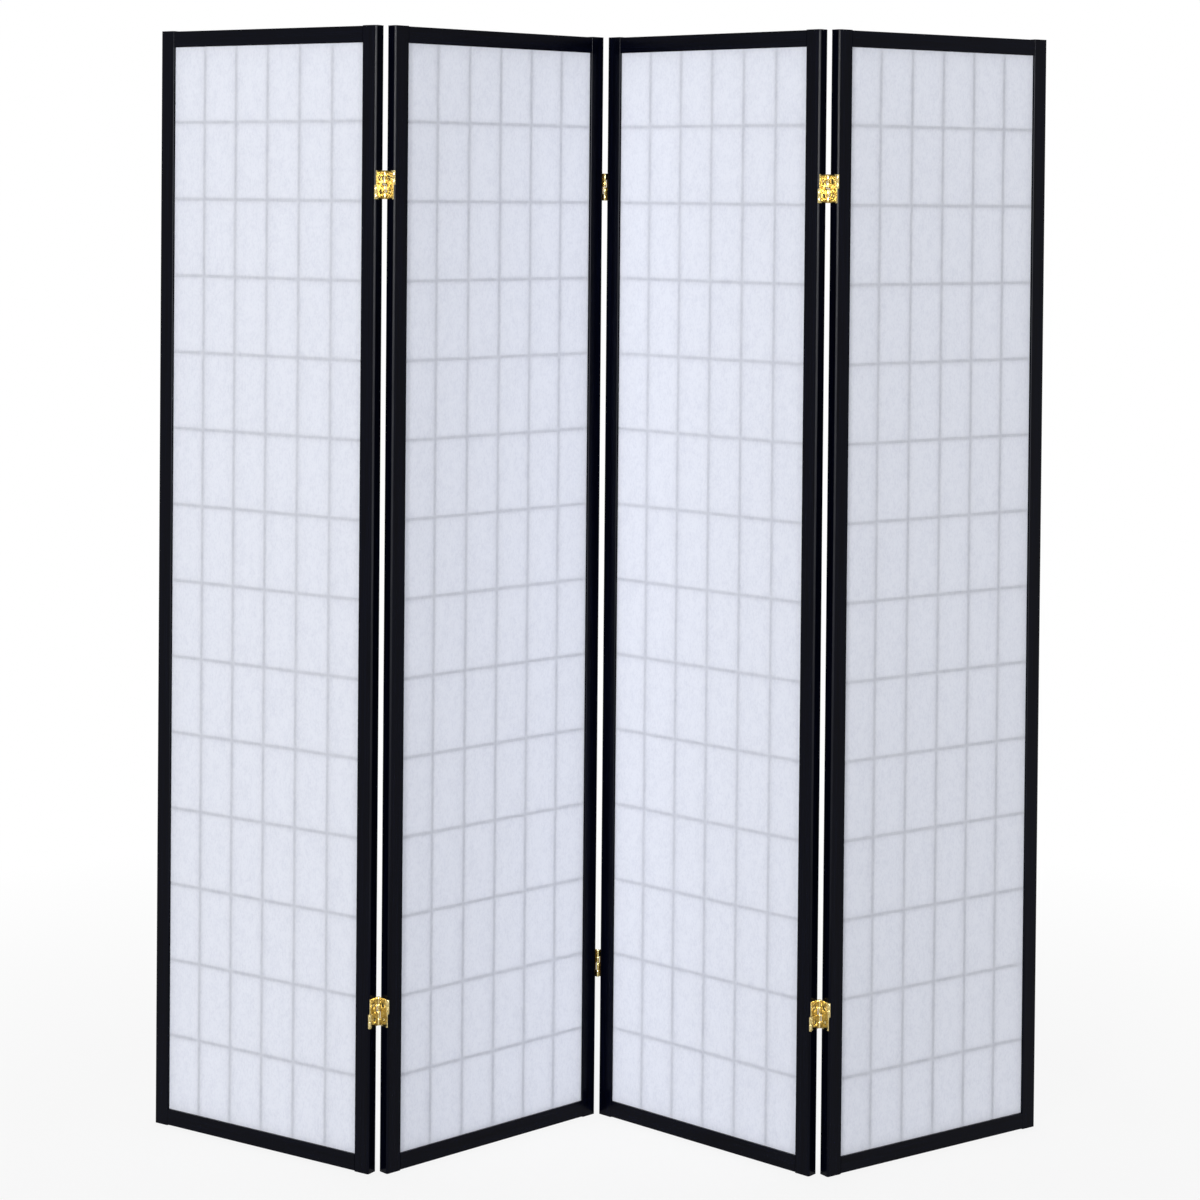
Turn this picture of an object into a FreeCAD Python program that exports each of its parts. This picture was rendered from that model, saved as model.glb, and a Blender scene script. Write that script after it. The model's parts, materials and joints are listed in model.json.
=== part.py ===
import FreeCAD, Part
import math
import os

# Four-panel paper folding screen, standing in its zigzag.
# Millimetres, +Z up, the papered front faces towards -Y, panel 1 is the leftmost from the front.
# Every panel is built in its own frame: X from its left edge to its right edge, Y from its front
# face to its back face, Z up from its foot. Each hinge is built about its own centre.

# --- panel frame -------------------------------------------------------------------------------
panel_height = 1784.0
panel_width = 437.0
panel_thickness = 19.0
stile_width = 27.0
rail_height = 25.7
rail_set_in = 0.8            # the rails stop this far short of the stile ends
front_arris_radius = 3.0     # the stiles' outer edges are rounded at the front
back_arris_radius = 1.5      # and at the back, and all other long edges are eased
eased_edge = 0.8

# --- stile and rail joint ----------------------------------------------------------------------
tenon_length = 18.0
tenon_height = 15.0
tenon_thickness = 7.0
tenon_clearance = 0.1

# --- paper and the groove that holds it --------------------------------------------------------
paper_recess = 4.5           # the paper lies this far behind the front face
paper_thickness = 0.4
groove_depth = 5.0
groove_play = 0.1
end_play = 0.5               # strips and paper stop this far short of the groove's floor

# --- lattice behind the paper ------------------------------------------------------------------
lattice_columns = 6
lattice_rows = 14
strip_width = 5.0
upright_depth = 8.0
crossbar_depth = 4.0         # the crossbars are housed in the uprights, flush with their front
housing_clearance = 0.1

# --- two-way hinge -----------------------------------------------------------------------------
hinge_height = 44.5
hinge_from_foot = 251.0      # centre of the lower hinge, from the floor
hinge_from_top = 246.5       # centre of the upper hinge, from the top of the stile
leaf_thickness = 1.2
pin_diameter = 2.2
pin_stand_off = 2.0          # the pins stand this far outside the panel faces
pin_clearance = 0.05
knuckle_gap = 0.3            # between the knuckles of one pin
halves_gap = 0.5             # between the upper and the lower half of the hinge
knuckle_relief = 0.6         # a leaf's plain edge stops this far short of a barrel
screw_access_diameter = 7.0  # hole in the link leaf, over the plate's screw
barrel_sides = 16            # the small round pieces are many-sided, within the true circle
pin_sides = 12

# --- how the screen stands ---------------------------------------------------------------------
first_panel_angle = 34.0     # panel 1 comes forward by this angle
fold_1_2 = 75.0              # how far each pair is folded from flat
fold_2_3 = 84.0
fold_3_4 = 76.0

# --- worked out from the sizes above -----------------------------------------------------------
bore_radius = pin_diameter / 2 + pin_clearance
barrel_radius = bore_radius + leaf_thickness
pin_depth = panel_thickness / 2 + pin_stand_off      # pin axis, from the middle of the thickness
plain_edge = pin_depth - barrel_radius - knuckle_relief
opening_bottom = rail_set_in + rail_height
opening_top = panel_height - opening_bottom
opening_width = panel_width - 2 * stile_width
opening_height = opening_top - opening_bottom
lattice_front = paper_recess + paper_thickness
groove_front = paper_recess - groove_play
seat = groove_depth - end_play                       # how far strips and paper enter the groove
upright_pitch = (opening_width + strip_width) / lattice_columns
crossbar_pitch = (opening_height + strip_width) / lattice_rows

Z_AXIS = FreeCAD.Vector(0, 0, 1)


def box(x0, x1, y0, y1, z0, z1):
    return Part.makeBox(x1 - x0, y1 - y0, z1 - z0, FreeCAD.Vector(x0, y0, z0))


def long_edges(shape, least_length):
    """The edges of a bar that run its whole length."""
    return [edge for edge in shape.Edges if edge.Length > least_length]


def prism(sides, radius, length, start, axis, turn=0.0):
    """Straight prism about an axis, with its corners on the given radius."""
    angles = [2 * math.pi * side / sides + math.radians(turn) for side in range(sides)]
    points = [FreeCAD.Vector(radius * math.cos(a), radius * math.sin(a), 0) for a in angles]
    face = Part.Face(Part.makePolygon(points + points[:1]))
    solid = face.extrude(FreeCAD.Vector(0, 0, length))
    solid.Placement = FreeCAD.Placement(start, FreeCAD.Rotation(Z_AXIS, axis))
    return solid


# --- frame members -----------------------------------------------------------------------------

def rail_tenon(x0, x1, clearance=0.0):
    """Tenon on the bottom rail from x0 to x1. With the clearance round it, it is the mortise."""
    middle_y = panel_thickness / 2
    half_y = tenon_thickness / 2 + clearance
    middle_z = (rail_set_in + opening_bottom - groove_depth) / 2
    half_z = tenon_height / 2 + clearance
    return box(x0, x1, middle_y - half_y, middle_y + half_y, middle_z - half_z, middle_z + half_z)


def upside_down(shape):
    """The same piece turned over for the other end of the panel."""
    return shape.mirror(FreeCAD.Vector(0, 0, panel_height / 2), Z_AXIS)


def left_stile():
    stile = box(0, stile_width, 0, panel_thickness, 0, panel_height)
    for radius, face_y in ((front_arris_radius, 0.0), (back_arris_radius, panel_thickness)):
        corner = FreeCAD.Vector(0, face_y, panel_height / 2)
        edges = long_edges(stile, panel_height / 2)
        stile = stile.makeFillet(radius, [edge for edge in edges if edge.CenterOfMass.isEqual(corner, eased_edge)])
    edges = long_edges(stile, panel_height / 2)
    inner_edges = [edge for edge in edges if edge.CenterOfMass.x > stile_width - eased_edge]
    stile = stile.makeChamfer(eased_edge, inner_edges)
    groove_back = lattice_front + crossbar_depth + groove_play
    groove = box(stile_width - groove_depth, stile_width, groove_front, groove_back,
                 opening_bottom - groove_depth, opening_top + groove_depth)
    mortise = rail_tenon(stile_width - tenon_length - tenon_clearance, stile_width, tenon_clearance)
    return stile.cut([groove, mortise, upside_down(mortise)])


def right_stile():
    return left_stile().mirror(FreeCAD.Vector(panel_width / 2, 0, 0), FreeCAD.Vector(1, 0, 0))


def bottom_rail():
    rail = box(stile_width, panel_width - stile_width, 0, panel_thickness, rail_set_in, opening_bottom)
    rail = rail.makeChamfer(eased_edge, long_edges(rail, opening_width / 2))
    groove_back = lattice_front + upright_depth + groove_play
    groove = box(stile_width, panel_width - stile_width, groove_front, groove_back,
                 opening_bottom - groove_depth, opening_bottom)
    tenons = [
        rail_tenon(stile_width - tenon_length, stile_width),
        rail_tenon(panel_width - stile_width, panel_width - stile_width + tenon_length),
    ]
    return rail.cut(groove).fuse(tenons).removeSplitter()


def top_rail():
    return upside_down(bottom_rail())


# --- paper and lattice -------------------------------------------------------------------------

def paper():
    return box(stile_width - seat, panel_width - stile_width + seat, paper_recess, lattice_front,
               opening_bottom - seat, opening_top + seat)


def crossbar_heights():
    first = opening_bottom - strip_width / 2
    return [first + row * crossbar_pitch for row in range(1, lattice_rows)]


def lattice_uprights():
    """Upright strips, each with a housing in its front for every crossbar."""
    foot = opening_bottom - seat
    head = opening_top + seat
    back = lattice_front + upright_depth
    housing_floor = lattice_front + crossbar_depth
    half_housing = strip_width / 2 + housing_clearance
    outline = [(back, head), (back, foot), (lattice_front, foot)]
    for height in crossbar_heights():
        outline.append((lattice_front, height - half_housing))
        outline.append((housing_floor, height - half_housing))
        outline.append((housing_floor, height + half_housing))
        outline.append((lattice_front, height + half_housing))
    outline.append((lattice_front, head))
    strips = []
    for column in range(1, lattice_columns):
        x0 = stile_width - strip_width + column * upright_pitch
        points = [FreeCAD.Vector(x0, y, z) for y, z in outline]
        side = Part.Face(Part.makePolygon(points + points[:1]))
        strips.append(side.extrude(FreeCAD.Vector(strip_width, 0, 0)))
    return Part.makeCompound(strips)


def lattice_crossbars():
    x0 = stile_width - seat
    x1 = panel_width - stile_width + seat
    half = strip_width / 2
    back = lattice_front + crossbar_depth
    heights = crossbar_heights()
    return Part.makeCompound([box(x0, x1, lattice_front, back, z - half, z + half) for z in heights])


# --- two-way hinge -----------------------------------------------------------------------------
# Hinge frame: X across the gap between the panel edges, Y from front to back about the middle of
# the thickness, Z up from the hinge's centre. The upper half is modelled. Its plate has the outer
# knuckle of the back pin, and its link leaf has the inner knuckle of both pins.

half_top = hinge_height / 2
half_bottom = halves_gap / 2
knuckle_split = (half_top + half_bottom) / 2
plate_knuckle = (knuckle_split + knuckle_gap / 2, half_top)
link_knuckle = (half_bottom, knuckle_split - knuckle_gap / 2)


def turned_over(shape):
    """Half a turn about Y swaps left with right and the upper half with the lower half."""
    return shape.copy().rotate(FreeCAD.Vector(0, 0, 0), FreeCAD.Vector(0, 1, 0), 180)


def turned_round(shape):
    """Half a turn about Z swaps left with right and front with back."""
    return shape.copy().rotate(FreeCAD.Vector(0, 0, 0), Z_AXIS, 180)


def barrel(y, z_range):
    low, high = z_range
    return prism(barrel_sides, barrel_radius, high - low, FreeCAD.Vector(0, y, low), Z_AXIS)


def bores():
    """Holes for both pins, right through the hinge, with their flats outside the bore's circle."""
    radius = bore_radius / math.cos(math.pi / pin_sides)
    starts = [FreeCAD.Vector(0, y, -half_top) for y in (-pin_depth, pin_depth)]
    return [prism(pin_sides, radius, hinge_height, start, Z_AXIS, 180 / pin_sides) for start in starts]


def left_plate():
    """Plate screwed to the left panel's edge: back knuckle above, front knuckle below."""
    x0 = -barrel_radius
    x1 = x0 + leaf_thickness
    sheet = box(x0, x1, -plain_edge, plain_edge, -half_top, half_top)
    low, high = plate_knuckle
    back_tab = box(x0, x1, plain_edge, pin_depth, low, high)
    front_tab = box(x0, x1, -pin_depth, -plain_edge, -high, -low)
    knuckles = [barrel(pin_depth, (low, high)), barrel(-pin_depth, (-high, -low))]
    plate = sheet.fuse([back_tab, front_tab] + knuckles)
    return plate.cut(bores()).removeSplitter()


def right_plate():
    return turned_round(left_plate())


def upper_link():
    """Loose leaf between the plates, with a knuckle on the back pin and one on the front pin."""
    half = leaf_thickness / 2
    sheet = box(-half, half, -plain_edge, plain_edge, half_bottom, half_top)
    low, high = link_knuckle
    tabs = box(-half, half, -pin_depth, pin_depth, low, high)
    knuckles = [barrel(pin_depth, link_knuckle), barrel(-pin_depth, link_knuckle)]
    access = prism(barrel_sides, screw_access_diameter / 2, leaf_thickness,
                   FreeCAD.Vector(-half, 0, knuckle_split), FreeCAD.Vector(1, 0, 0))
    link = sheet.fuse([tabs] + knuckles)
    return link.cut(bores() + [access]).removeSplitter()


def lower_link():
    return turned_over(upper_link())


def hinge_pin(y, upper):
    foot = half_bottom if upper else -half_top
    return prism(pin_sides, pin_diameter / 2, half_top - half_bottom, FreeCAD.Vector(0, y, foot), Z_AXIS)


# --- the standing screen -----------------------------------------------------------------------

def placed(shape, spot):
    """A copy of a shape in its panel's place: spot is the panel's left front foot and its heading."""
    x, y, heading = spot
    moved = shape.copy()
    moved.rotate(FreeCAD.Vector(0, 0, 0), Z_AXIS, heading)
    moved.translate(FreeCAD.Vector(x, y, 0))
    return moved


def to_world(spot, local_x, local_y):
    x, y, heading = spot
    cosine = math.cos(math.radians(heading))
    sine = math.sin(math.radians(heading))
    return (x + local_x * cosine - local_y * sine, y + local_x * sine + local_y * cosine)


def pin_line(back):
    """Depth of the pin axis that a pair of panels turns about, in a panel's own frame."""
    return panel_thickness / 2 + (pin_depth if back else -pin_depth)


def panel_spots():
    """Where each panel stands, and the upright axis that each pair turns about."""
    spots = [(0.0, 0.0, -first_panel_angle)]
    axes = []
    for index, fold in enumerate((fold_1_2, fold_2_3, fold_3_4)):
        back = index % 2 == 0
        axis = to_world(spots[-1], panel_width + barrel_radius, pin_line(back))
        heading = spots[-1][2] + (fold if back else -fold)
        offset = to_world((0.0, 0.0, heading), -barrel_radius, pin_line(back))
        spots.append((axis[0] - offset[0], axis[1] - offset[1], heading))
        axes.append(axis)
    return spots, axes


def on_edge(shapes, edge_x):
    """Hinge pieces of both hinges on one edge of a panel: edge_x is the middle of the gap there."""
    pieces = []
    for height in (hinge_from_foot, panel_height - hinge_from_top):
        for shape in shapes:
            piece = shape.copy()
            piece.translate(FreeCAD.Vector(edge_x, panel_thickness / 2, height))
            pieces.append(piece)
    return Part.makeCompound(pieces)


def hinge_nodes(spots):
    nodes = {}
    left_gap = panel_width + barrel_radius
    right_gap = -barrel_radius
    for index in range(len(spots) - 1):
        left, right = spots[index], spots[index + 1]
        name = f"hinge_{index + 1}_{index + 2}_"
        nodes[name + "left_plates"] = placed(on_edge([left_plate()], left_gap), left)
        nodes[name + "right_plates"] = placed(on_edge([right_plate()], right_gap), right)
        # Folded about the back pins, the upper link lies on the right panel and the lower link on
        # the left one. Folded about the front pins, they change sides.
        folds_back = index % 2 == 0
        upper_on, upper_gap = (right, right_gap) if folds_back else (left, left_gap)
        lower_on, lower_gap = (left, left_gap) if folds_back else (right, right_gap)
        nodes[name + "upper_links"] = placed(on_edge([upper_link()], upper_gap), upper_on)
        nodes[name + "lower_links"] = placed(on_edge([lower_link()], lower_gap), lower_on)
        left_pins = [hinge_pin(pin_depth, True), hinge_pin(-pin_depth, False)]
        right_pins = [hinge_pin(-pin_depth, True), hinge_pin(pin_depth, False)]
        nodes[name + "left_pins"] = placed(on_edge(left_pins, left_gap), left)
        nodes[name + "right_pins"] = placed(on_edge(right_pins, right_gap), right)
    return nodes


def panel_nodes(spots):
    makers = {
        "left_stile": left_stile,
        "right_stile": right_stile,
        "top_rail": top_rail,
        "bottom_rail": bottom_rail,
        "paper": paper,
        "lattice_uprights": lattice_uprights,
        "lattice_crossbars": lattice_crossbars,
    }
    nodes = {}
    for piece, make in makers.items():
        shape = make()
        for index, spot in enumerate(spots):
            nodes[f"panel_{index + 1}_{piece}"] = placed(shape, spot)
    return nodes


def main():
    spots, axes = panel_spots()
    nodes = panel_nodes(spots)
    nodes.update(hinge_nodes(spots))
    whole = Part.makeCompound(list(nodes.values())).optimalBoundingBox(False)
    shift = FreeCAD.Vector(-(whole.XMin + whole.XMax) / 2, -(whole.YMin + whole.YMax) / 2, 0)
    os.makedirs("parts", exist_ok=True)
    for name, shape in nodes.items():
        shape.translate(shift)
        shape.exportStep(f"parts/{name}.step")
    for index, (x, y) in enumerate(axes):
        print(f"axis {index + 1}-{index + 2}: {x + shift.x:.4f} {y + shift.y:.4f}")
    for index, (x, y, heading) in enumerate(spots):
        print(f"panel {index + 1}: {x + shift.x:.4f} {y + shift.y:.4f} heading {heading:.3f}")
    print(f"size: {whole.XLength:.2f} {whole.YLength:.2f} {whole.ZLength:.2f}")


main()
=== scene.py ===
import json
import math

import bmesh
import bpy
from mathutils import Matrix, Vector


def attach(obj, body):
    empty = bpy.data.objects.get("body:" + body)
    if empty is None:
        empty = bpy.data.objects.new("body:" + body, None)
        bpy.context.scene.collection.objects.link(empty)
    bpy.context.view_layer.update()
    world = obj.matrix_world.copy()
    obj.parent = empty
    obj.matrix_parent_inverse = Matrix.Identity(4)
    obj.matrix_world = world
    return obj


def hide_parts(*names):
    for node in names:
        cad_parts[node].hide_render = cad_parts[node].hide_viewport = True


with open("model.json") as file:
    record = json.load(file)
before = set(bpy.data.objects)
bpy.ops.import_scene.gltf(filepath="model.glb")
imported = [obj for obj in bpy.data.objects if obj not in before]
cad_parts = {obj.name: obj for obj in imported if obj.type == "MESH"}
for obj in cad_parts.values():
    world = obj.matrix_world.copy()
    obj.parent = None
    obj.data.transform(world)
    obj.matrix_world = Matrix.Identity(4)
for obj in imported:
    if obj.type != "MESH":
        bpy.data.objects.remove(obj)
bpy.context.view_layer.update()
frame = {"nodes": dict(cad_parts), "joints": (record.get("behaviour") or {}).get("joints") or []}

# --- sizes, in metres, as in the construction ---------------------------------------------------
MM = 0.001
PANEL_HEIGHT = 1784 * MM
PANEL_WIDTH = 437 * MM
PANEL_THICKNESS = 19 * MM
STILE_WIDTH = 27 * MM
RAIL_TOP = 26.5 * MM             # bottom of the opening, from the floor
PAPER_DEPTH = 4.5 * MM           # from the front face to the paper
PAPER_IN_GROOVE = 4.5 * MM
HINGE_HEIGHT = 44.5 * MM
HINGE_FROM_FOOT = 251 * MM
HINGE_FROM_TOP = 246.5 * MM
LEAF = 1.2 * MM
BARREL_RADIUS = 2.35 * MM
BORE_RADIUS = 1.15 * MM
PIN_RADIUS = 1.1 * MM
PIN_DEPTH = 11.5 * MM            # pin axis from the middle of the thickness
PLAIN_EDGE = 8.55 * MM           # half width of a leaf without its knuckle
HALVES_GAP = 0.5 * MM
KNUCKLE_GAP = 0.3 * MM
ACCESS_RADIUS = 3.5 * MM
SCREW_HEAD_RADIUS = 2.3 * MM
COUNTERSINK_RADIUS = 3.2 * MM
SCREW_SUNK = 0.3 * MM            # rim of the head below the face of its plate
RECESS_ARM = 1.5 * MM            # the cross in the head, from its middle
RECESS_HALF_WIDTH = 0.34 * MM
RECESS_DEPTH = 0.9 * MM
CURL_WRAP = 294                  # degrees that a rolled knuckle goes round its pin
CURL_LAP = 1 * MM                # how far its strip runs on over the leaf
TAB_LAP = 0.5 * MM               # the same of a link's tab on its leaf
RING_LAP = 0.4 * MM              # and on its knuckle
PIN_CHAMFER = 0.1 * MM
WORN_EDGE = 0.12 * MM            # the small round along the edges of sheet metal
OVERCUT = 1 * MM                 # how far a cutting solid goes past what it cuts
PAPER_THICKNESS = 0.4 * MM
PAPER_GRID = (48, 160)
HEADINGS = (-34, 41, -43, 33)    # each panel's turn about the upright, in degrees
LATTICE_COLUMNS = 6
LATTICE_ROWS = 14
STRIP_WIDTH = 5 * MM

HALF_TOP = HINGE_HEIGHT / 2
HALF_BOTTOM = HALVES_GAP / 2
SPLIT = (HALF_TOP + HALF_BOTTOM) / 2
PLATE_KNUCKLE = (SPLIT + KNUCKLE_GAP / 2, HALF_TOP)
LINK_KNUCKLE = (HALF_BOTTOM, SPLIT - KNUCKLE_GAP / 2)

OPENING_WIDTH = PANEL_WIDTH - 2 * STILE_WIDTH
OPENING_HEIGHT = PANEL_HEIGHT - 2 * RAIL_TOP
COLUMN_PITCH = (OPENING_WIDTH + STRIP_WIDTH) / LATTICE_COLUMNS
ROW_PITCH = (OPENING_HEIGHT + STRIP_WIDTH) / LATTICE_ROWS

joint_at = {joint["name"]: Vector(joint["pos_m"]) for joint in frame["joints"]}


# --- where the panels stand ---------------------------------------------------------------------

def pin_point(right_edge, back):
    """A hinge pin's place in the frame of the panel on one side of it."""
    x = PANEL_WIDTH + BARREL_RADIUS if right_edge else -BARREL_RADIUS
    y = PANEL_THICKNESS / 2 + (PIN_DEPTH if back else -PIN_DEPTH)
    return Vector((x, y, 0))


def panel_matrix(panel):
    """Panel frame to row frame: X along the panel, Y from its front to its back, Z up."""
    joint, right_edge, back = {
        1: ("fold_1_2", True, True),
        2: ("fold_1_2", False, True),
        3: ("fold_2_3", False, False),
        4: ("fold_3_4", False, True),
    }[panel]
    turn = Matrix.Rotation(math.radians(HEADINGS[panel - 1]), 4, "Z")
    pin = joint_at[joint].copy()
    pin.z = 0
    return Matrix.Translation(pin - turn @ pin_point(right_edge, back)) @ turn


# --- materials ----------------------------------------------------------------------------------

# Painted shadow: the paper is greyed over each lattice strip, for the dark strips seen through it.
STRIP_SHADOW_SHARE = 0.03                # how far the paper greys in the painted shadow of a lattice strip
STRIP_SHADOW_GREY = (0.30, 0.31, 0.36)
STRIP_SHADOW_FADE = (0.28 * STRIP_WIDTH, 0.58 * STRIP_WIDTH)     # where the painted strip shadow fades, from the middle of a strip
PAPER_DARK = (0.797, 0.825, 0.925)
PAPER_LIGHT = (0.873, 0.90, 0.99)
PAPER_MOTTLE = (0.65, 1.15)      # the summed noise between which the paper goes from dark to light
PAPER_THROUGH = (0.30, 0.24)     # how much of the light goes through, where dark and where light
PAPER_ROUGHNESS = 0.85
PAPER_SPECULAR = 0.15
LACQUER_DARK = (0.0000, 0.0001, 0.0018)
LACQUER_LIGHT = (0.0012, 0.0018, 0.0066)
# Painted highlight: a pale line laid along the front arrises that catch the lamps.
LACQUER_PAINTED_HIGHLIGHT = (0.050, 0.051, 0.057)
LACQUER_SPECULAR = 0.066
LACQUER_ROUGHNESS = (0.17, 0.25)
# Where the painted highlight on an arris fades out: the sum of the distances from its two faces.
PAINTED_HIGHLIGHT_OUTER = (2.0 * MM, 2.8 * MM)
PAINTED_HIGHLIGHT_INNER = (0.9 * MM, 1.2 * MM)
PAINTED_HIGHLIGHT_HEIGHTS = (0.3, 1.5)      # none of it at the lower, all of it at the upper
GRAIN_ACROSS, GRAIN_ALONG = 60, 1.6
BRASSES = {                      # the darkest colour, the lightest and the least roughness
    "plated_brass": ((0.47, 0.34, 0.10), (0.80, 0.68, 0.36), 0.09),
    "pin_brass": ((0.36, 0.26, 0.08), (0.52, 0.40, 0.16), 0.20),
    "screw_brass": ((0.68, 0.62, 0.44), (0.86, 0.80, 0.60), 0.14),
}
BRASS_ROUGHNESS_SPREAD = 0.12
# Painted shade: the dark laid in the countersinks round the screw heads.
COUNTERSINK_SHADE = (0.05, 0.03, 0.008)
COUNTERSINK_SHADE_SHARE = 0.85             # of the colour, in the painted shade inside the countersinks
COUNTERSINK_SHADE_FADE = 0.5 * MM          # and how far outside them it ends

# Noise: scale, detail, roughness.
GRAIN = (14.0, 6.0, 0.65)
FIGURE = (3.0, 3.0, 0.5)
DUST = (900.0, 2.0, 0.5)
CLOUDS = (110.0, 3.0, 0.6)
FIBRES = (360.0, 3.0, 0.6)
THREADS = (620.0, 3.0, 0.6)
RIPPLE = (420.0, 2.0, 0.5)
SCUFFS = (900.0, 4.0, 0.6)


class Nodes:
    """A few short words for building the node tree of a material or of the world."""

    def __init__(self, owner, output="ShaderNodeOutputMaterial"):
        self.owner = owner
        owner.use_nodes = True
        self.tree = owner.node_tree
        self.tree.nodes.clear()
        self.output = self.add(output)

    def add(self, kind, **settings):
        node = self.tree.nodes.new(kind)
        for key, value in settings.items():
            if key in node.inputs:
                node.inputs[key].default_value = value
            else:
                setattr(node, key, value)
        return node

    def link(self, start, end):
        self.tree.links.new(start, end)

    def place(self, scale=(1, 1, 1), heading=0.0, shift=(0, 0, 0)):
        """Coordinates that stay with the piece, turned to the panel's own axes and scaled."""
        source = self.add("ShaderNodeTexCoord").outputs["Object"]
        turn = (0, 0, -math.radians(heading))
        turned = self.add("ShaderNodeMapping", Rotation=turn, Location=shift)
        scaled = self.add("ShaderNodeMapping", Scale=scale)
        self.link(source, turned.inputs["Vector"])
        self.link(turned.outputs[0], scaled.inputs["Vector"])
        return scaled.outputs[0]

    def noise(self, where, scale, detail, rough):
        node = self.add("ShaderNodeTexNoise", Scale=scale, Detail=detail, Roughness=rough)
        self.link(where, node.inputs["Vector"])
        return node.outputs["Fac"]

    def ramp(self, value, low, high, at):
        node = self.add("ShaderNodeValToRGB")
        node.color_ramp.elements[0].position = at[0]
        node.color_ramp.elements[1].position = at[1]
        node.color_ramp.elements[0].color = (*low, 1)
        node.color_ramp.elements[1].color = (*high, 1)
        self.link(value, node.inputs[0])
        return node.outputs[0]

    def range(self, value, low, high, at=(0.3, 0.7)):
        """low where value is at[0] or less, high where it is at[1] or more, and even in between."""
        node = self.add("ShaderNodeMapRange")
        for socket, number in zip(node.inputs[1:5], (at[0], at[1], low, high)):
            socket.default_value = number
        self.link(value, node.inputs[0])
        return node.outputs[0]

    def calc(self, operation, *values):
        node = self.add("ShaderNodeMath", operation=operation)
        for socket, value in zip(node.inputs, values):
            if isinstance(value, bpy.types.NodeSocket):
                self.link(value, socket)
            else:
                socket.default_value = value
        return node.outputs[0]

    def add_up(self, first, second, share):
        """The first and a share of the second."""
        return self.calc("MULTIPLY_ADD", second, share, first)

    def separate(self, where):
        """The coordinates one by one, by number or by "X", "Y" and "Z"."""
        node = self.add("ShaderNodeSeparateXYZ")
        self.link(where, node.inputs[0])
        return node.outputs

    def largest(self, *values):
        top = values[0]
        for value in values[1:]:
            top = self.calc("MAXIMUM", top, value)
        return top

    def colour_towards(self, share, start, end):
        """A colour that goes from start, a socket, to end, a fixed colour."""
        node = self.add("ShaderNodeMix", data_type="RGBA")
        self.link(share, node.inputs[0])
        self.link(start, node.inputs[6])
        node.inputs[7].default_value = (*end, 1)
        return node.outputs[2]

    def shaders(self, share, first, second):
        node = self.add("ShaderNodeMixShader")
        self.link(share, node.inputs["Fac"])
        self.link(first, node.inputs[1])
        self.link(second, node.inputs[2])
        return node.outputs[0]

    def bump(self, height, strength, distance):
        node = self.add("ShaderNodeBump", Strength=strength, Distance=distance)
        self.link(height, node.inputs["Height"])
        return node.outputs[0]

    def seeing_rays(self):
        """The rays by which a thing is seen, straight, in gloss or through something."""
        path = self.add("ShaderNodeLightPath")
        kinds = ("Is Camera Ray", "Is Glossy Ray", "Is Transmission Ray")
        return [path.outputs[kind] for kind in kinds]

    def surface(self, shader):
        """End the tree in this shader and give the tree's owner."""
        self.link(shader, self.output.inputs["Surface"])
        return self.owner


def new_material(name):
    """The nodes of a new material, still empty."""
    return Nodes(bpy.data.materials.new(name))


def painted_highlight_edge(m, panel, right_edge, inner):
    """Mask of the painted highlight: 1 on the front arris of a stile, outer or inner, more so
    higher up.
    """
    to_panel = panel_matrix(panel).inverted().translation
    x, y, z = m.separate(m.place((1, 1, 1), HEADINGS[panel - 1], to_panel))
    across = m.calc("SUBTRACT", PANEL_WIDTH, x) if right_edge else x
    if inner:
        corner = m.calc("ADD", m.calc("SUBTRACT", STILE_WIDTH, across), y)
        on_edge = m.range(corner, 1, 0, PAINTED_HIGHLIGHT_INNER)
    else:
        on_edge = m.range(m.calc("ADD", across, y), 1, 0, PAINTED_HIGHLIGHT_OUTER)
    return m.calc("MULTIPLY", on_edge, m.range(z, 0, 1, PAINTED_HIGHLIGHT_HEIGHTS))


def lacquer(name, heading, upright, painted_highlight=None):
    """Black satin lacquer over fine open grain that runs along the member."""
    m = new_material(name)
    along, other = GRAIN_ALONG, GRAIN_ACROSS
    where = m.place((other, other, along) if upright else (along, other, other), heading)
    grain = m.noise(where, *GRAIN)
    figure = m.noise(where, *FIGURE)
    dust = m.noise(m.place(), *DUST)
    tone = m.add_up(m.calc("MULTIPLY", figure, 0.5), grain, 0.5)
    colour = m.ramp(tone, LACQUER_DARK, LACQUER_LIGHT, (0.35, 0.65))
    # painted highlight along the arris, broken up by the grain
    if painted_highlight:
        share = m.calc("MULTIPLY", painted_highlight_edge(m, *painted_highlight), m.range(grain, 0.5, 1.0))
        colour = m.colour_towards(share, colour, LACQUER_PAINTED_HIGHLIGHT)
    shader = m.add("ShaderNodeBsdfPrincipled")
    m.link(colour, shader.inputs["Base Color"])
    m.link(m.range(grain, *LACQUER_ROUGHNESS), shader.inputs["Roughness"])
    relief = m.bump(m.add_up(grain, dust, 0.15), strength=0.12, distance=0.2 * MM)
    m.link(relief, shader.inputs["Normal"])
    shader.inputs["Specular IOR Level"].default_value = LACQUER_SPECULAR
    return m.surface(shader.outputs[0])


def strip_shadow_mask(m, along, first, pitch, count):
    """Mask of the painted strip shadow: 1 on the middle of each strip of the lattice, falling to 0
    just outside its edges.
    """
    steps = m.calc("DIVIDE", m.calc("SUBTRACT", along, first), pitch)
    nearest = m.calc("MINIMUM", m.calc("MAXIMUM", m.calc("ROUND", steps), 1), count)
    away = m.calc("MULTIPLY", m.calc("ABSOLUTE", m.calc("SUBTRACT", steps, nearest)), pitch)
    return m.range(away, 1, 0, STRIP_SHADOW_FADE)


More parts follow.
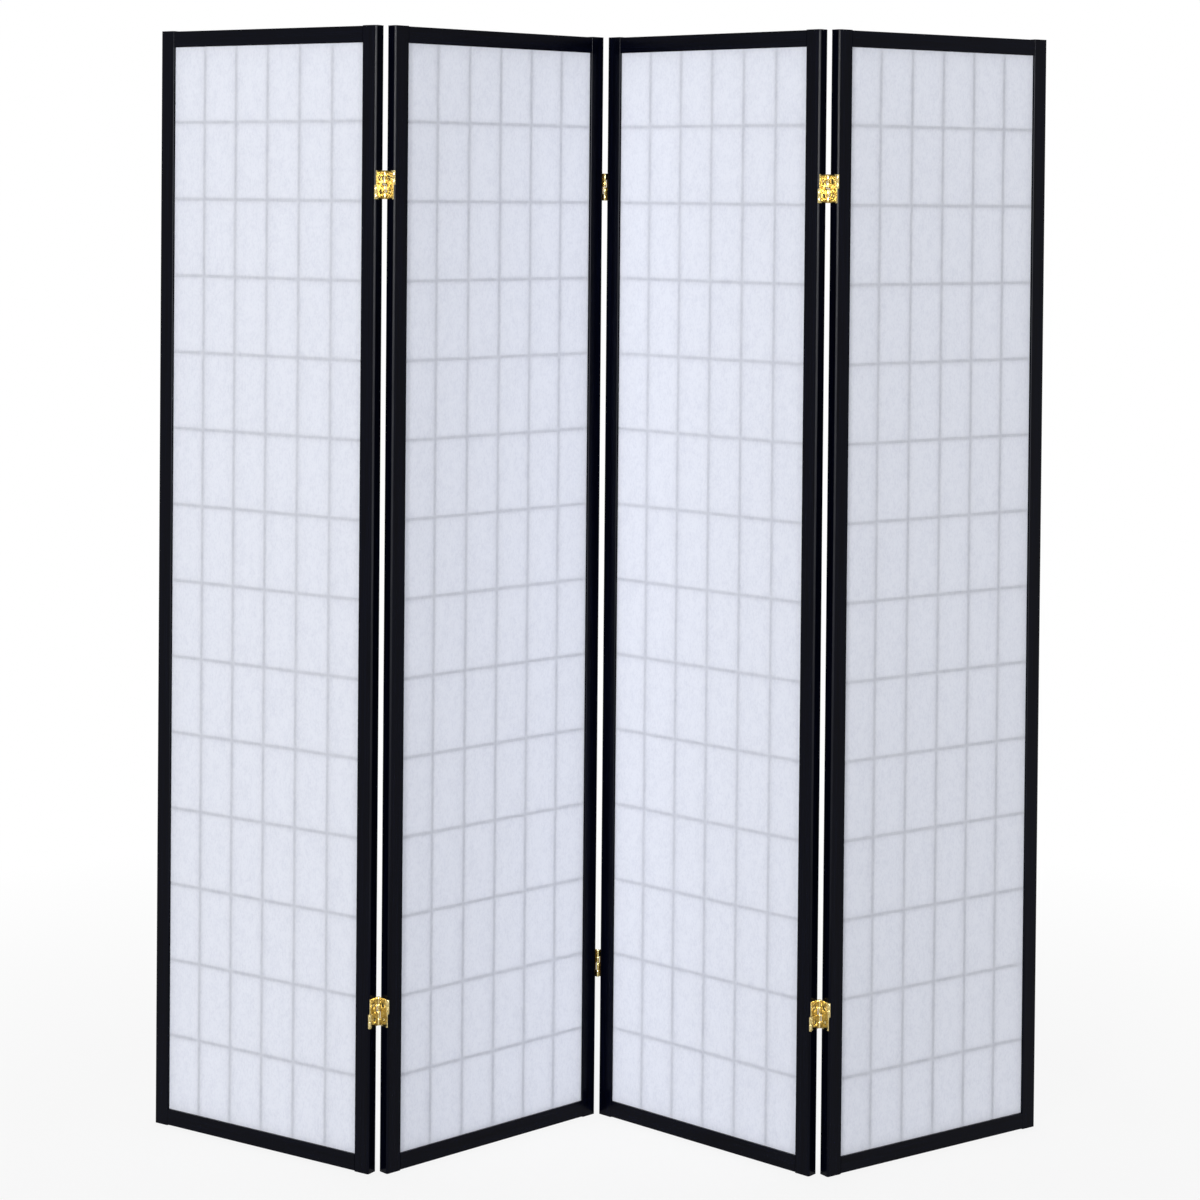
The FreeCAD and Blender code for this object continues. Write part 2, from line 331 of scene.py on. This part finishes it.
def washi(name, shift):
    """White fibrous paper that lets light through, with a painted shadow greying it over each strip
    of the lattice.
    """
    m = new_material(name)
    clouds = m.noise(m.place((1, 1, 0.5), 0, shift), *CLOUDS)
    fibres = m.noise(m.place((1, 1, 0.55), 0, shift), *FIBRES)
    threads = m.noise(m.place((1, 1, 0.14), 0, shift), *THREADS)
    mottle = m.add_up(m.add_up(fibres, threads, 0.2), clouds, 0.6)
    plain = m.ramp(mottle, PAPER_DARK, PAPER_LIGHT, PAPER_MOTTLE)
    place = m.separate(m.place())
    half = STRIP_WIDTH / 2
    upright = strip_shadow_mask(m, place["X"], STILE_WIDTH - half, COLUMN_PITCH, LATTICE_COLUMNS - 1)
    across = strip_shadow_mask(m, place["Z"], RAIL_TOP - half, ROW_PITCH, LATTICE_ROWS - 1)
    # painted shadow of the dark lattice strips behind the paper
    strip_shadow = m.calc("MULTIPLY", m.largest(upright, across), STRIP_SHADOW_SHARE)
    colour = m.colour_towards(strip_shadow, plain, STRIP_SHADOW_GREY)
    front = m.add("ShaderNodeBsdfPrincipled", Roughness=PAPER_ROUGHNESS)
    front.inputs["Specular IOR Level"].default_value = PAPER_SPECULAR
    through = m.add("ShaderNodeBsdfTranslucent")
    m.link(colour, front.inputs["Base Color"])
    m.link(colour, through.inputs["Color"])
    m.link(m.bump(fibres, strength=0.25, distance=0.2 * MM), front.inputs["Normal"])
    share = m.range(mottle, *PAPER_THROUGH, PAPER_MOTTLE)
    return m.surface(m.shaders(share, front.outputs[0], through.outputs[0]))


def brass(name, shaded_countersinks=False):
    """Bright brass, rippled by its stamping, and where asked with painted shade in its
    countersinks.
    """
    low, high, rough = BRASSES[name]
    m = new_material(name)
    ripple = m.noise(m.place(), *RIPPLE)
    scuffs = m.noise(m.place((1, 1, 6)), *SCUFFS)
    tone = m.add_up(m.calc("MULTIPLY", ripple, 0.7), scuffs, 0.3)
    colour = m.ramp(tone, low, high, (0.38, 0.62))
    # painted shade in the countersinks, round the screw heads
    if shaded_countersinks:
        place = m.separate(m.place())
        y = place["Y"]
        z = m.calc("SUBTRACT", m.calc("ABSOLUTE", place["Z"]), SPLIT)
        away = m.calc("SQRT", m.calc("ADD", m.calc("MULTIPLY", y, y), m.calc("MULTIPLY", z, z)))
        edge = (COUNTERSINK_RADIUS, COUNTERSINK_RADIUS + COUNTERSINK_SHADE_FADE)
        colour = m.colour_towards(m.range(away, COUNTERSINK_SHADE_SHARE, 0, edge), colour, COUNTERSINK_SHADE)
    shader = m.add("ShaderNodeBsdfPrincipled", Metallic=1.0)
    m.link(colour, shader.inputs["Base Color"])
    m.link(m.range(scuffs, rough, rough + BRASS_ROUGHNESS_SPREAD), shader.inputs["Roughness"])
    relief = m.bump(m.add_up(ripple, scuffs, 0.2), strength=0.5, distance=0.4 * MM)
    m.link(relief, shader.inputs["Normal"])
    return m.surface(shader.outputs[0])


# --- mesh helpers -------------------------------------------------------------------------------

def piece_from(mesh_data, name, matrix, material, body):
    piece = bpy.data.objects.new(name, mesh_data)
    bpy.context.scene.collection.objects.link(piece)
    if not mesh_data.materials:
        mesh_data.materials.append(material)
    piece.matrix_world = matrix
    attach(piece, body)
    return piece


def smooth(data, angle=40):
    """Smooth shading, broken at edges sharper than the angle, in degrees."""
    data.shade_smooth()
    data.set_sharp_from_angle(angle=math.radians(angle))
    return data


def mesh_of(name, vertices, faces):
    data = bpy.data.meshes.new(name)
    data.from_pydata(vertices, [], faces)
    bm = bmesh.new()
    bm.from_mesh(data)
    bmesh.ops.remove_doubles(bm, verts=bm.verts, dist=1e-7)
    bmesh.ops.recalc_face_normals(bm, faces=bm.faces)
    bm.to_mesh(data)
    bm.free()
    return data


def extrude(points, low, high):
    """Vertices and faces of a prism on an XY outline, from low to high in Z."""
    count = len(points)
    vertices = [(x, y, z) for z in (low, high) for x, y in points]
    faces = [tuple(range(count))[::-1], tuple(range(count, 2 * count))]
    for i in range(count):
        j = (i + 1) % count
        faces.append((i, j, count + j, count + i))
    return vertices, faces


def block(x0, x1, y0, y1, z0, z1):
    return extrude([(x0, y0), (x1, y0), (x1, y1), (x0, y1)], z0, z1)


def arc(radius, centre_y, angles, direction=1):
    """Points at these angles about a centre, counter-clockwise if direction is 1, else mirrored."""
    return [(radius * math.cos(a), centre_y + direction * radius * math.sin(a)) for a in angles]


def full_circle(steps):
    return [2 * math.pi * step / steps for step in range(steps)]


def drum(radius, steps, rings):
    """A turned solid about X: rings are (x, radius share) from one end to the other."""
    angles = full_circle(steps)
    vertices = [(x, y, z) for x, share in rings for y, z in arc(radius * share, 0, angles)]
    faces = []
    for level in range(len(rings) - 1):
        for step in range(steps):
            a, b = level * steps + step, level * steps + (step + 1) % steps
            faces.append((a, b, b + steps, a + steps))
    faces.append(tuple(range(steps))[::-1])
    faces.append(tuple(range((len(rings) - 1) * steps, len(rings) * steps)))
    return vertices, faces


def modified(data, kind, **settings):
    """The mesh after one modifier."""
    holder = bpy.data.objects.new("holder", data)
    bpy.context.scene.collection.objects.link(holder)
    modifier = holder.modifiers.new(kind, kind)
    for key, value in settings.items():
        setattr(modifier, key, value)
    graph = bpy.context.evaluated_depsgraph_get()
    made = bpy.data.meshes.new_from_object(holder.evaluated_get(graph), depsgraph=graph)
    bpy.data.objects.remove(holder)
    return made


def cut_mesh(name, solid, cutters):
    """A solid with cutters taken out of it."""
    base = mesh_of(name, *solid)
    for part in cutters:
        cutter = bpy.data.objects.new("cutter", mesh_of("cutter", *part))
        bpy.context.scene.collection.objects.link(cutter)
        base = modified(base, "BOOLEAN", object=cutter, operation="DIFFERENCE", solver="EXACT")
        bpy.data.objects.remove(cutter)
    return base


# --- frames, lattice and paper ------------------------------------------------------------------

def dress_frames():
    """Lacquer on the frame and the lattice; the arrises that the light finds get a painted
    highlight.
    """
    for panel, heading in enumerate(HEADINGS, 1):
        # the painted highlight goes on the outer arris of a stile at a near fold, on its inner edge
        # elsewhere
        right_forward = heading < 0
        painted_highlight_left = (panel, False, right_forward)
        painted_highlight_right = (panel, True, not right_forward)
        upright = lacquer(f"lacquer_upright_{panel}", heading, True)
        across = lacquer(f"lacquer_across_{panel}", heading, False)
        materials = {
            "left_stile": lacquer(f"lacquer_left_{panel}", heading, True, painted_highlight_left),
            "right_stile": lacquer(f"lacquer_right_{panel}", heading, True, painted_highlight_right),
            "lattice_uprights": upright,
            "top_rail": across,
            "bottom_rail": across,
            "lattice_crossbars": across,
        }
        for node, material in materials.items():
            slots = frame["nodes"][f"panel_{panel}_{node}"].data.materials
            slots.clear()
            slots.append(material)


def paper_mesh():
    """A pane drawn tight and flat, in the middle of the solid sheet it stands for."""
    x0 = STILE_WIDTH - PAPER_IN_GROOVE
    x1 = PANEL_WIDTH - x0
    z0 = RAIL_TOP - PAPER_IN_GROOVE
    z1 = PANEL_HEIGHT - z0
    columns, rows = PAPER_GRID
    depth = PAPER_DEPTH + PAPER_THICKNESS / 2
    vertices = []
    for row in range(rows + 1):
        for column in range(columns + 1):
            x = x0 + (x1 - x0) * column / columns
            z = z0 + (z1 - z0) * row / rows
            vertices.append((x, depth, z))
    faces = []
    for row in range(rows):
        for column in range(columns):
            i = row * (columns + 1) + column
            faces.append((i, i + 1, i + columns + 2, i + columns + 1))
    return smooth(mesh_of("paper", vertices, faces), 60), (x1 - x0, z1 - z0)


def make_papers():
    for panel in range(1, len(HEADINGS) + 1):
        body = f"panel_{panel}"
        data, size = paper_mesh()
        material = washi(f"washi_{panel}", (0.6 * panel, 0, 1.7 * panel))
        paper = piece_from(data, f"paper_{panel}", panel_matrix(panel), material, body)
        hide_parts(f"{body}_paper")


# --- hinges -------------------------------------------------------------------------------------

def curl(centre_y, direction, low, high, stem_from):
    """A leaf's rolled knuckle: a strip that comes up along the panel's edge and wraps its pin."""
    steps = 40
    angles = [math.pi - math.radians(CURL_WRAP) * step / steps for step in range(steps + 1)]
    outer = arc(BARREL_RADIUS, centre_y, angles, direction)
    inner = arc(BORE_RADIUS, centre_y, angles, direction)
    stem = [(-BORE_RADIUS, stem_from), (-BARREL_RADIUS, stem_from)]
    return extrude(stem + outer + inner[::-1], low, high)


def ring(centre_y, low, high):
    """A full barrel, for the link leaf, whose sheet meets the middle of its knuckles."""
    steps = 48
    angles = full_circle(steps)
    vertices = [(x, y, z) for z in (low, high) for radius in (BARREL_RADIUS, BORE_RADIUS)
                for x, y in arc(radius, centre_y, angles)]
    faces = []
    for i in range(steps):
        j = (i + 1) % steps
        (a, b), (c, d), (e, f), (g, h) = ((i + n * steps, j + n * steps) for n in range(4))
        faces += [(a, b, f, e), (c, g, h, d), (e, f, h, g), (a, c, d, b)]
    return vertices, faces


def at_height(part, z):
    vertices, faces = part
    return [(x, y, other + z) for x, y, other in vertices], faces


def finish_metal(name, meshes):
    """One mesh of several, with a small round along every sharp edge, as sheet metal wears."""
    bm = bmesh.new()
    for data in meshes:
        bm.from_mesh(modified(data, "BEVEL", width=WORN_EDGE, segments=2, limit_method="ANGLE",
                              angle_limit=math.radians(35), harden_normals=False))
    made = bpy.data.meshes.new(name)
    bm.to_mesh(made)
    bm.free()
    return smooth(made)


def plate_mesh():
    """Left plate: a sheet on the panel's edge, its back knuckle above, its front one below."""
    x0, x1 = -BARREL_RADIUS, -BORE_RADIUS
    sheet = block(x0, x1, -PLAIN_EDGE, PLAIN_EDGE, -HALF_TOP, HALF_TOP)
    neck = 0.7
    rings = [(x0 - OVERCUT, neck), (x0, neck), (x1 - 0.1 * MM, 1), (x1 + OVERCUT, 1)]
    sink = drum(COUNTERSINK_RADIUS, 40, rings)
    leaf = cut_mesh("plate_leaf", sheet, [at_height(sink, SPLIT), at_height(sink, -SPLIT)])
    low, high = PLATE_KNUCKLE
    lap = PLAIN_EDGE - CURL_LAP
    back = mesh_of("back_knuckle", *curl(PIN_DEPTH, 1, low, high, lap))
    front = mesh_of("front_knuckle", *curl(-PIN_DEPTH, -1, -high, -low, -lap))
    return finish_metal("hinge_plate", [leaf, back, front])


def link_mesh():
    """Upper link: half-height sheet, knuckles at both edges and a hole over the plate's screw."""
    half = LEAF / 2
    sheet = block(-half, half, -PLAIN_EDGE, PLAIN_EDGE, HALF_BOTTOM, HALF_TOP)
    access = drum(ACCESS_RADIUS, 48, [(-2 * OVERCUT, 1), (2 * OVERCUT, 1)])
    parts = [cut_mesh("link_leaf", sheet, [at_height(access, SPLIT)])]
    low, high = LINK_KNUCKLE
    for side in (-1, 1):
        start = side * (PLAIN_EDGE - TAB_LAP)
        end = side * (PIN_DEPTH - BARREL_RADIUS + RING_LAP)
        parts.append(mesh_of("tab", *block(-half, half, *sorted((start, end)), low, high)))
        parts.append(mesh_of("knuckle", *ring(side * PIN_DEPTH, low, high)))
    return finish_metal("hinge_link", parts)


def pin_mesh():
    """One short pin with a slightly domed end."""
    length = HALF_TOP - HALF_BOTTOM
    shank = [(0, 0.9), (PIN_CHAMFER, 1), (length - PIN_CHAMFER, 1)]
    dome = [(length + 0.15 * MM, 0.8), (length + 0.25 * MM, 0.4)]
    vertices, faces = drum(PIN_RADIUS, 32, shank + dome)
    return smooth(mesh_of("hinge_pin", [(y, z, x) for x, y, z in vertices], faces), 50)


def screw_mesh():
    """Countersunk head with a cross recess, facing +X from the origin."""
    cone = [(-1.6 * MM, 0.5), (-1.4 * MM, 0.52), (-0.15 * MM, 0.98)]
    crown = [(0, 0.96), (0.12 * MM, 0.6), (0.15 * MM, 0.2)]
    arm, half = RECESS_ARM, RECESS_HALF_WIDTH
    slots = [block(-RECESS_DEPTH, OVERCUT, -y, y, -z, z) for y, z in ((arm, half), (half, arm))]
    head = cut_mesh("screw", drum(SCREW_HEAD_RADIUS, 40, cone + crown), slots)
    return finish_metal("hinge_screw", [head])


FLIP = Matrix.Rotation(math.pi, 4, "Y")     # left to right, upper to lower
SPIN = Matrix.Rotation(math.pi, 4, "Z")     # left to right, front to back


def pin_places():
    """Each pin of a hinge: its side, its end and its place in the frame of that side."""
    for side, back, upward in (
        ("left", 1, 1), ("left", -1, -1), ("right", -1, 1), ("right", 1, -1),
    ):
        foot = Matrix.Translation((0, back * PIN_DEPTH, upward * HALF_BOTTOM))
        if upward > 0:
            yield side, "top", foot
        else:
            yield side, "foot", foot @ FLIP


def screw_places():
    """The same of each screw, in the frame of its plate."""
    for side, turn in (("left", Matrix.Identity(4)), ("right", SPIN)):
        for end, z in (("top", SPLIT), ("foot", -SPLIT)):
            yield side, end, turn @ Matrix.Translation((-BORE_RADIUS - SCREW_SUNK, 0, z))


def make_hinges():
    plated = brass("plated_brass", shaded_countersinks=True)
    pin_metal = brass("pin_brass")
    screw_metal = brass("screw_brass")
    plate, link, pin, screw = plate_mesh(), link_mesh(), pin_mesh(), screw_mesh()
    heights = {"lower": HINGE_FROM_FOOT, "upper": PANEL_HEIGHT - HINGE_FROM_TOP}
    for left in range(1, len(HEADINGS)):
        panels = {"left": left, "right": left + 1}
        turns_at_back = HEADINGS[left - 1] < 0
        upper_on, lower_on = ("right", "left") if turns_at_back else ("left", "right")
        node = f"hinge_{left}_{left + 1}_"
        for level, height in heights.items():
            sides = {}
            for side, x in (("left", PANEL_WIDTH + BARREL_RADIUS), ("right", -BARREL_RADIUS)):
                centre = Matrix.Translation((x, PANEL_THICKNESS / 2, height))
                sides[side] = panel_matrix(panels[side]) @ centre
            pieces = [
                ("left_plate", plate, plated, "left", sides["left"], "left_plates"),
                ("right_plate", plate, plated, "right", sides["right"] @ SPIN, "right_plates"),
                ("upper_link", link, plated, upper_on, sides[upper_on], "upper_links"),
                ("lower_link", link, plated, lower_on, sides[lower_on] @ FLIP, "lower_links"),
            ]
            for side, end, place in pin_places():
                label, stands_for = f"{side}_{end}_pin", f"{side}_pins"
                pieces.append((label, pin, pin_metal, side, sides[side] @ place, stands_for))
            for side, end, place in screw_places():
                label = f"{side}_{end}_screw"
                pieces.append((label, screw, screw_metal, side, sides[side] @ place, None))
            for label, data, metal, side, matrix, stands_for in pieces:
                body = f"panel_{panels[side]}"
                piece = piece_from(data, f"{node}{level}_{label}", matrix, metal, body)
                if stands_for:
                    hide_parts(node + stands_for)


# --- studio -------------------------------------------------------------------------------------

FLOOR_REACH = 14.0               # from the middle to each side
FLOOR_DROP = 0.5 * MM            # below the feet, so that no faces coincide
FLOOR_WHITE = (0.88, 1.0)        # how far it is plain white to the eye, near and far
FLOOR_DISTANCES = (0.9, 2.2)     # near and far, from the middle
WORLD_LIGHT = (0.08, 1.0)        # from in front, and from behind
WORLD_TURN = (0.05, 0.7)         # Y of the direction at which it is the one and the other
LIGHTS_AIM = Vector((0, 0, 0.9))
LIGHTS = (                       # name, place, width and height, watts
    ("key", (-5.4, -10.2, 2.0), (3.2, 1.2), 640),
    ("fill", (5.4, -10.2, 2.0), (3.2, 1.2), 312),
    ("front", (-0.4, -11.5, 2.0), (2.4, 1.2), 150),
)


def make_floor():
    """A pale floor that takes shadows, but is seen nearly white, and plain white further out."""
    reach = FLOOR_REACH
    corners = [(-reach, -reach, 0), (reach, -reach, 0), (reach, reach, 0), (-reach, reach, 0)]
    data = mesh_of("floor", corners, [(0, 1, 2, 3)])
    floor = bpy.data.objects.new("floor", data)
    bpy.context.scene.collection.objects.link(floor)
    floor.location.z = -FLOOR_DROP
    m = new_material("floor_paint")
    away = m.add("ShaderNodeVectorMath", operation="LENGTH")
    m.link(m.place(), away.inputs[0])
    white = m.range(away.outputs["Value"], *FLOOR_WHITE, FLOOR_DISTANCES)
    share = m.calc("MULTIPLY", m.largest(*m.seeing_rays()), white)
    paint = m.add("ShaderNodeBsdfDiffuse", Color=(0.9, 0.9, 0.9, 1))
    glow = m.add("ShaderNodeEmission", Strength=1.0)
    data.materials.append(m.surface(m.shaders(share, paint.outputs[0], glow.outputs[0])))


def make_world():
    """Light from behind more than from in front; what is seen of it is white all round."""
    world = bpy.data.worlds.new("studio")
    bpy.context.scene.world = world
    w = Nodes(world, "ShaderNodeOutputWorld")
    direction = w.separate(w.add("ShaderNodeTexCoord").outputs["Generated"])
    light = w.range(direction["Y"], *WORLD_LIGHT, WORLD_TURN)
    background = w.add("ShaderNodeBackground", Color=(1, 1, 1, 1))
    w.link(w.largest(light, *w.seeing_rays()), background.inputs["Strength"])
    w.surface(background.outputs[0])


def make_lights():
    for name, place, size, watts in LIGHTS:
        data = bpy.data.lights.new(name, "AREA")
        data.shape = "RECTANGLE"
        data.size, data.size_y = size
        data.energy = watts
        lamp = bpy.data.objects.new(name, data)
        bpy.context.scene.collection.objects.link(lamp)
        lamp.location = place
        lamp.rotation_euler = (LIGHTS_AIM - Vector(place)).to_track_quat("-Z", "Y").to_euler()


FOLD_POINT = (2.9 * MM, 143.0 * MM)             # front corner of the middle fold, on the floor
CAMERA_FROM_FOLD = (-126.1 * MM, -4604.8 * MM)
CAMERA_HEIGHT = 1528.2 * MM
CAMERA_SEES_TO = 100
SENSOR_MILLIMETRES = 36.0
FOCAL_PIXELS = 2791.6
PHOTO_PIXELS = 1200
HORIZON_PIXEL = 243.3
YAW, PITCH, ROLL = (math.radians(a) for a in (-1.480, 1.039, 0.510))


def make_camera():
    data = bpy.data.cameras.new("camera")
    data.sensor_width = SENSOR_MILLIMETRES
    data.lens = FOCAL_PIXELS / PHOTO_PIXELS * data.sensor_width
    data.shift_y = -(PHOTO_PIXELS / 2 - HORIZON_PIXEL) / PHOTO_PIXELS
    data.clip_end = CAMERA_SEES_TO
    camera = bpy.data.objects.new("camera", data)
    bpy.context.scene.collection.objects.link(camera)
    level_right = Vector((math.cos(YAW), math.sin(YAW), 0))
    level = math.cos(PITCH)
    ahead = Vector((-math.sin(YAW) * level, math.cos(YAW) * level, -math.sin(PITCH)))
    level_up = level_right.cross(ahead)
    right = level_right * math.cos(ROLL) + level_up * math.sin(ROLL)
    up = level_up * math.cos(ROLL) - level_right * math.sin(ROLL)
    turn = Matrix((right, up, -ahead)).transposed().to_4x4()
    x, y = (fold + away for fold, away in zip(FOLD_POINT, CAMERA_FROM_FOLD))
    camera.matrix_world = Matrix.Translation((x, y, CAMERA_HEIGHT)) @ turn
    bpy.context.scene.camera = camera


dress_frames()
make_papers()
make_hinges()
make_floor()
make_world()
make_lights()
make_camera()
bpy.context.scene.view_settings.view_transform = "Standard"
